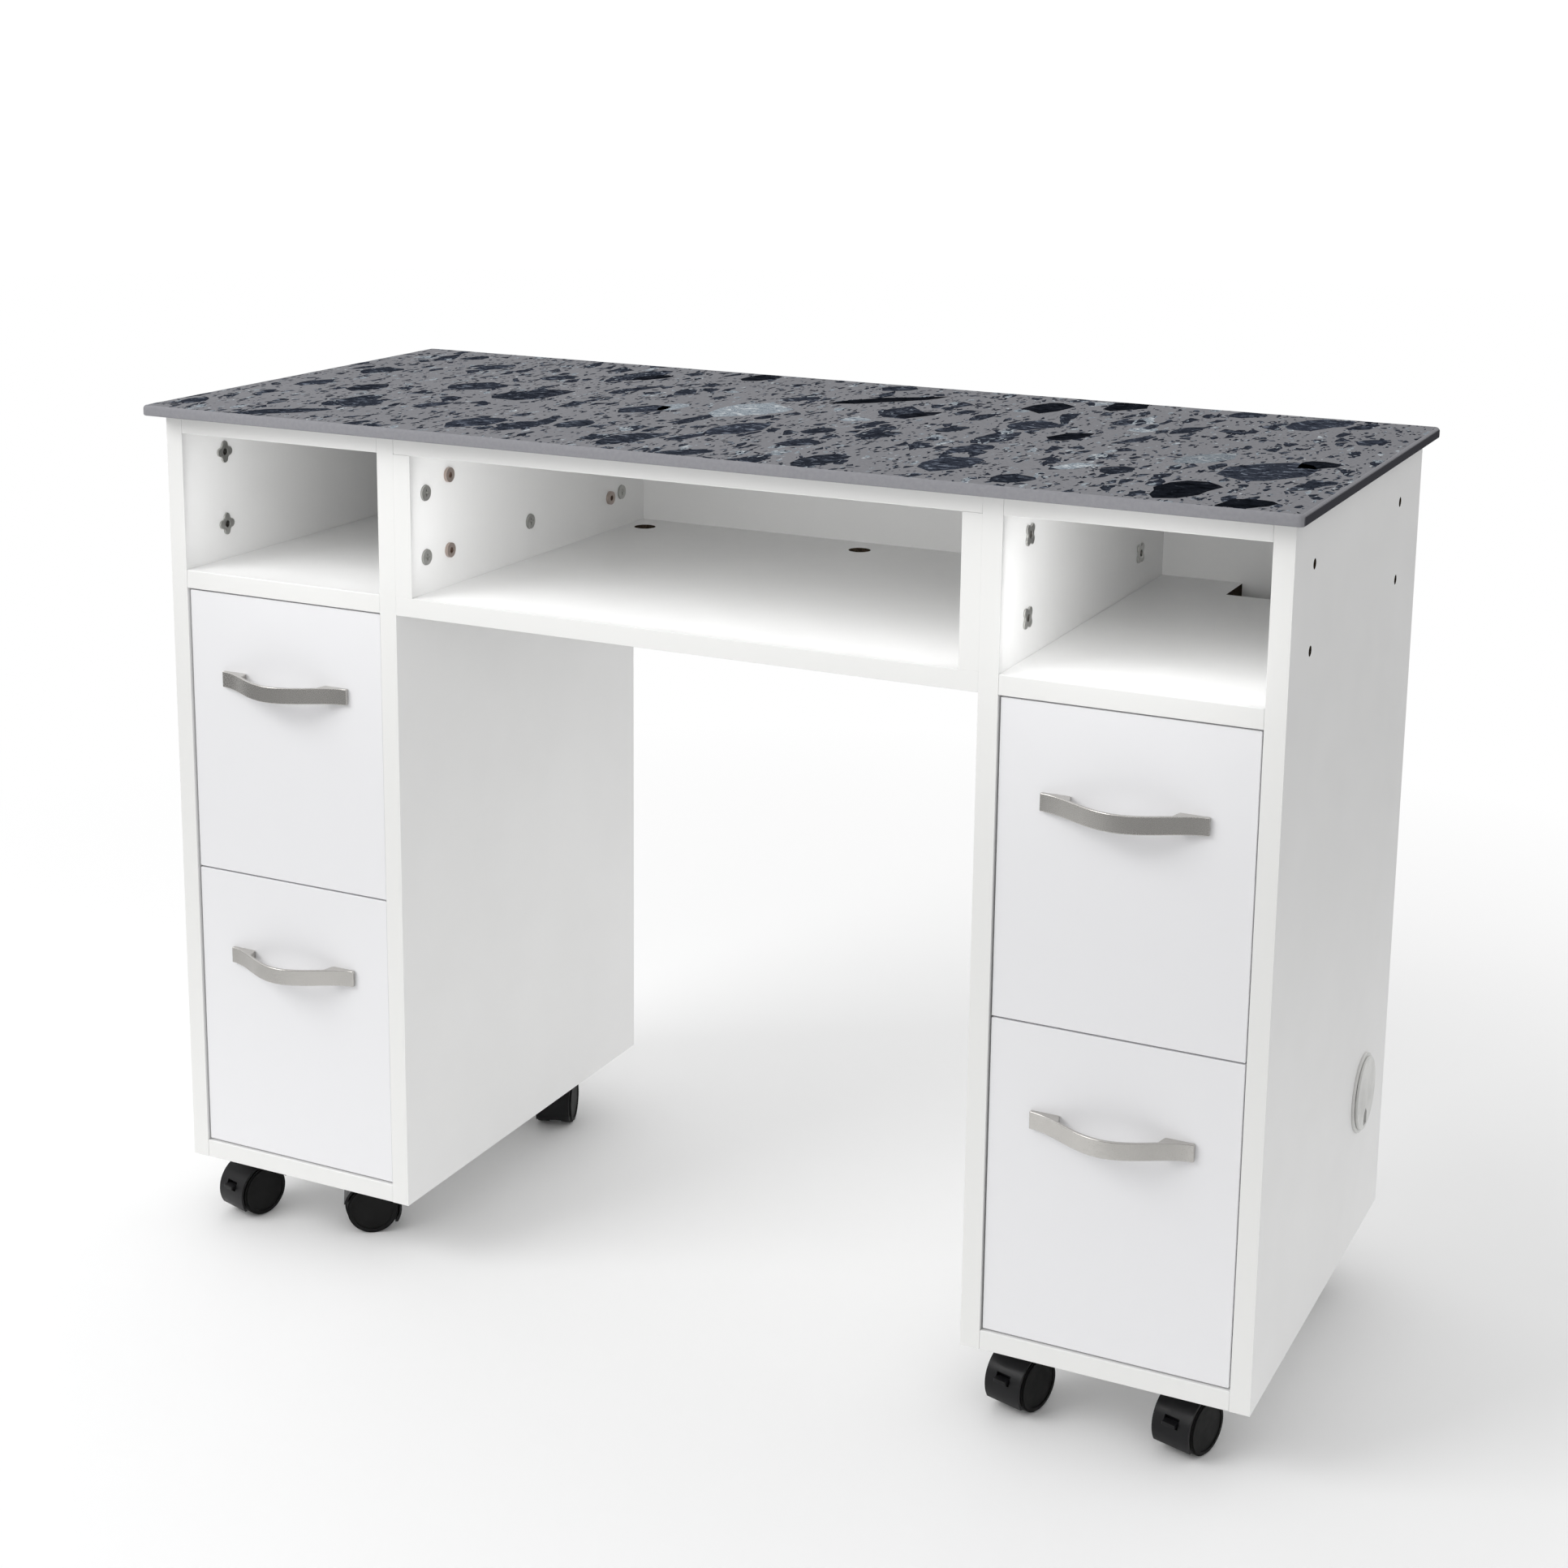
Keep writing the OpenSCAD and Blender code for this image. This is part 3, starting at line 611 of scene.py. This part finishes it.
def add_world():
    """A white room, brightest behind the table and to its left, plain white where the camera sees it."""
    world = bpy.data.worlds.new("studio")
    bpy.context.scene.world = world
    world.use_nodes = True
    tree = world.node_tree
    axes = tree.nodes.new("ShaderNodeSeparateXYZ")
    tree.links.new(tree.nodes.new("ShaderNodeTexCoord").outputs["Generated"], axes.inputs[0])
    base = tree.nodes.new("ShaderNodeValue")
    base.outputs[0].default_value = ROOM_LIGHT
    total = base.outputs[0]
    for axis, gain in ROOM_GAINS:
        part = tree.nodes.new("ShaderNodeMath")
        part.operation = "MULTIPLY"
        part.use_clamp = True
        part.inputs[1].default_value = gain
        tree.links.new(axes.outputs[axis], part.inputs[0])
        sum_node = tree.nodes.new("ShaderNodeMath")
        tree.links.new(part.outputs[0], sum_node.inputs[0])
        tree.links.new(total, sum_node.inputs[1])
        total = sum_node.outputs[0]
    seen = tree.nodes.new("ShaderNodeMath")
    seen.operation = "MAXIMUM"
    tree.links.new(total, seen.inputs[0])
    tree.links.new(tree.nodes.new("ShaderNodeLightPath").outputs["Is Camera Ray"], seen.inputs[1])
    background = tree.nodes["Background"]
    background.inputs["Color"].default_value = (1.0, 1.0, 1.0, 1.0)
    tree.links.new(seen.outputs[0], background.inputs["Strength"])


# Soft lights for the open bays: shelf below the bay, watts at its mouth and further in front of it
BAY_LIGHTS = (("left_shelf", 0.044, 0.060), ("centre_shelf", 0.155, 0.090), ("right_shelf", 0.090, 0.075))
BAY_LIGHT_GAPS = (1.0 * MM, 160.0 * MM)


def add_bay_lights():
    """Small lights at and before the open bays, in place of one very large front light."""
    for shelf, *energies in BAY_LIGHTS:
        low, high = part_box(shelf)
        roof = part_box(shelf.replace("shelf", "top_board"))[0].z
        for gap, energy in zip(BAY_LIGHT_GAPS, energies):
            middle = Vector(((low.x + high.x) / 2, low.y - gap, (high.z + roof) / 2))
            size = (0.9 * (high.x - low.x), 0.8 * (roof - high.z))
            add_area(shelf + "_light", middle, middle + Vector((0.0, 0.4, -0.02)), size, energy)


KEY_PLACE = (-2.2, -2.4, 2.6)
KEY_TARGET = (0.0, 0.0, 0.4)
KEY_SIZE = (2.2, 1.8)
KEY_WATTS = 59.2
FLOOR_RADIUS = 9.0


def add_studio():
    """Pale floor that fades into the white room, one large soft light and the bays' small ones."""
    add_world()
    add_area("key", KEY_PLACE, KEY_TARGET, KEY_SIZE, KEY_WATTS)
    add_bay_lights()
    build = bmesh.new()
    bmesh.ops.create_circle(build, cap_ends=True, segments=96, radius=FLOOR_RADIUS)
    mesh = bpy.data.meshes.new("floor")
    build.to_mesh(mesh)
    build.free()
    floor = bpy.data.objects.new("floor", mesh)
    bpy.context.scene.collection.objects.link(floor)
    mesh.materials.append(floor_material())


add_camera()
add_studio()
for node_name, node_object in NODES.items():
    dress(node_name, node_object)
build_worktop()
build_chips()
for drawer_name in ("left_upper", "left_lower", "right_upper", "right_lower"):
    build_handle(drawer_name)
